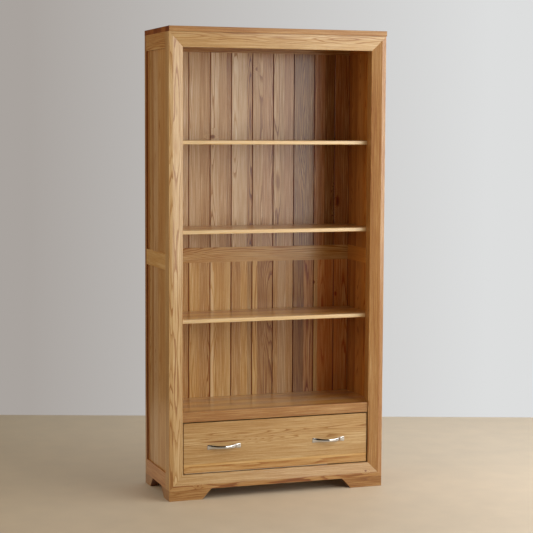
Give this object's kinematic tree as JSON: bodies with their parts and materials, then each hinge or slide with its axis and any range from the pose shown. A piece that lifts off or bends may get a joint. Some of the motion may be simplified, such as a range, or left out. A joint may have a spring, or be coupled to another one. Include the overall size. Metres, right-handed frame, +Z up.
{
  "type": "bookcase",
  "caption": "Tall solid oak bookcase with a bevelled, mitred face frame, a tongue-and-groove boarded back, shelves on pins and a dovetailed drawer with bow handles.",
  "frame": {"origin": "on the floor, in the middle of the width and of the whole depth from the handles to the back", "axes": "+Z up, +X to the right seen from the front, the open front faces -Y"},
  "size_m": [0.88, 0.361, 1.8],
  "materials": {
    "oak": "natural oak, planed and sanded, satin lacquer",
    "oak_boards": "natural oak boards, planed and sanded, satin lacquer",
    "drawer_wood": "pale planed oak, thin lacquer",
    "polished_metal": "polished chrome plate on a casting",
    "steel": "zinc-plated steel"
  },
  "bodies": {
    "carcass": {"back_boards_lower": "oak_boards", "back_boards_upper": "oak_boards", "back_bottom_rail": "oak", "back_middle_rail": "oak", "back_top_rail": "oak", "deck_board": "oak", "deck_cleat_left": "drawer_wood", "deck_cleat_right": "drawer_wood", "deck_rail": "oak", "drawer_runner_left": "drawer_wood", "drawer_runner_right": "drawer_wood", "drawer_stops": "drawer_wood", "front_bottom_rail": "oak", "front_foot_left": "oak", "front_foot_right": "oak", "front_post_left": "oak", "front_post_right": "oak", "front_top_rail": "oak", "rear_foot_left": "oak", "rear_foot_right": "oak", "rear_stile_left": "oak", "rear_stile_right": "oak", "shelf_lower": "oak", "shelf_middle": "oak", "shelf_pins": "steel", "shelf_upper": "oak", "side_board_lower_1_left": "oak_boards", "side_board_lower_1_right": "oak_boards", "side_board_lower_2_left": "oak_boards", "side_board_lower_2_right": "oak_boards", "side_board_lower_3_left": "oak_boards", "side_board_lower_3_right": "oak_boards", "side_board_upper_1_left": "oak_boards", "side_board_upper_1_right": "oak_boards", "side_board_upper_2_left": "oak_boards", "side_board_upper_2_right": "oak_boards", "side_board_upper_3_left": "oak_boards", "side_board_upper_3_right": "oak_boards", "side_bottom_rail_left": "oak", "side_bottom_rail_right": "oak", "side_middle_rail_left": "oak", "side_middle_rail_right": "oak", "side_top_rail_left": "oak", "side_top_rail_right": "oak", "top_blocks": "drawer_wood", "top_board": "oak"},
    "drawer": {"drawer_back": "drawer_wood", "drawer_bottom": "drawer_wood", "drawer_front": "oak", "drawer_side_left": "drawer_wood", "drawer_side_right": "drawer_wood", "handle_left": "polished_metal", "handle_right": "polished_metal", "handle_screws": "steel"}
  },
  "joints": [
    {"name": "drawer_slide", "type": "slide", "parent": "carcass", "child": "drawer", "axis": [0, -1, 0], "range_m": [0, 0.2]}
  ]
}
